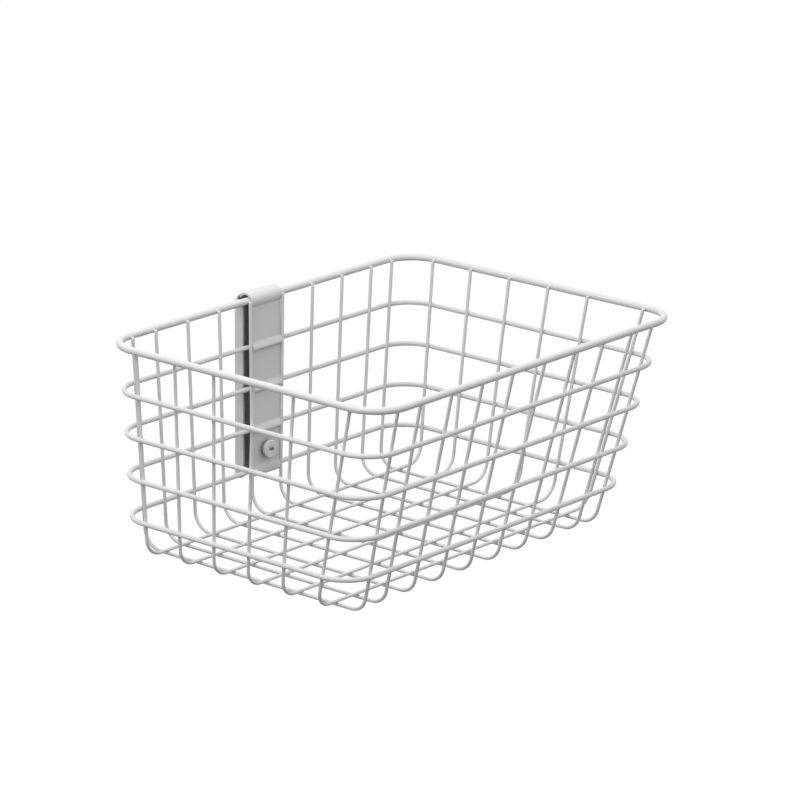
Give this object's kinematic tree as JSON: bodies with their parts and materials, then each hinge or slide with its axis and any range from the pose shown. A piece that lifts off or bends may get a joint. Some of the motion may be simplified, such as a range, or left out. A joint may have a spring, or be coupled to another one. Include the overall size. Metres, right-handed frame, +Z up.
{
  "type": "cart basket",
  "caption": "Welded wire basket that hangs from a cart, with a back channel and a clamp plate that hooks over the rim and is held by one slotted screw.",
  "frame": {"origin": "middle of the flat back face of the mounting channel, midway between its ends", "axes": "+X to the right along the back wall, +Y out of the channel's back face towards the cart, +Z up"},
  "size_m": [0.38, 0.3037, 0.188],
  "materials": {
    "coat": "light grey powder coat, satin",
    "zinc": "bright zinc plate"
  },
  "bodies": {
    "basket": {"rim_wire": "coat", "hoop_1": "coat", "hoop_2": "coat", "hoop_3": "coat", "hoop_4": "coat", "cross_wire_01": "coat", "cross_wire_02": "coat", "cross_wire_03": "coat", "cross_wire_04": "coat", "cross_wire_05": "coat", "cross_wire_06": "coat", "cross_wire_07": "coat", "cross_wire_08": "coat", "cross_wire_09": "coat", "cross_wire_10": "coat", "long_wire_1": "coat", "long_wire_2": "coat", "long_wire_3": "coat", "long_wire_4": "coat", "long_wire_5": "coat", "long_wire_6": "coat", "mount_channel": "coat", "weld_nut": "zinc"},
    "plate": {"clamp_plate": "coat"},
    "screw_carrier": {"screw_washer": "zinc"},
    "screw": {"clamp_screw": "coat"}
  },
  "joints": [
    {"name": "plate_swing", "type": "hinge", "parent": "basket", "child": "plate", "pos_m": [0, -0.01125, 0.0745], "axis": [-1, 0, 0], "range_deg": [0, 60]},
    {"name": "screw_travel", "type": "slide", "parent": "plate", "child": "screw_carrier", "axis": [0, -1, 0], "range_m": [0, 0.006]},
    {"name": "screw_turn", "type": "hinge", "parent": "screw_carrier", "child": "screw", "pos_m": [0, -0.01815, -0.0553], "axis": [0, -1, 0], "range_deg": [0, 2160]}
  ],
  "couplings": [
    {"joint": "screw_turn", "follows": "screw_travel", "rad_per_m": 6283.2}
  ]
}
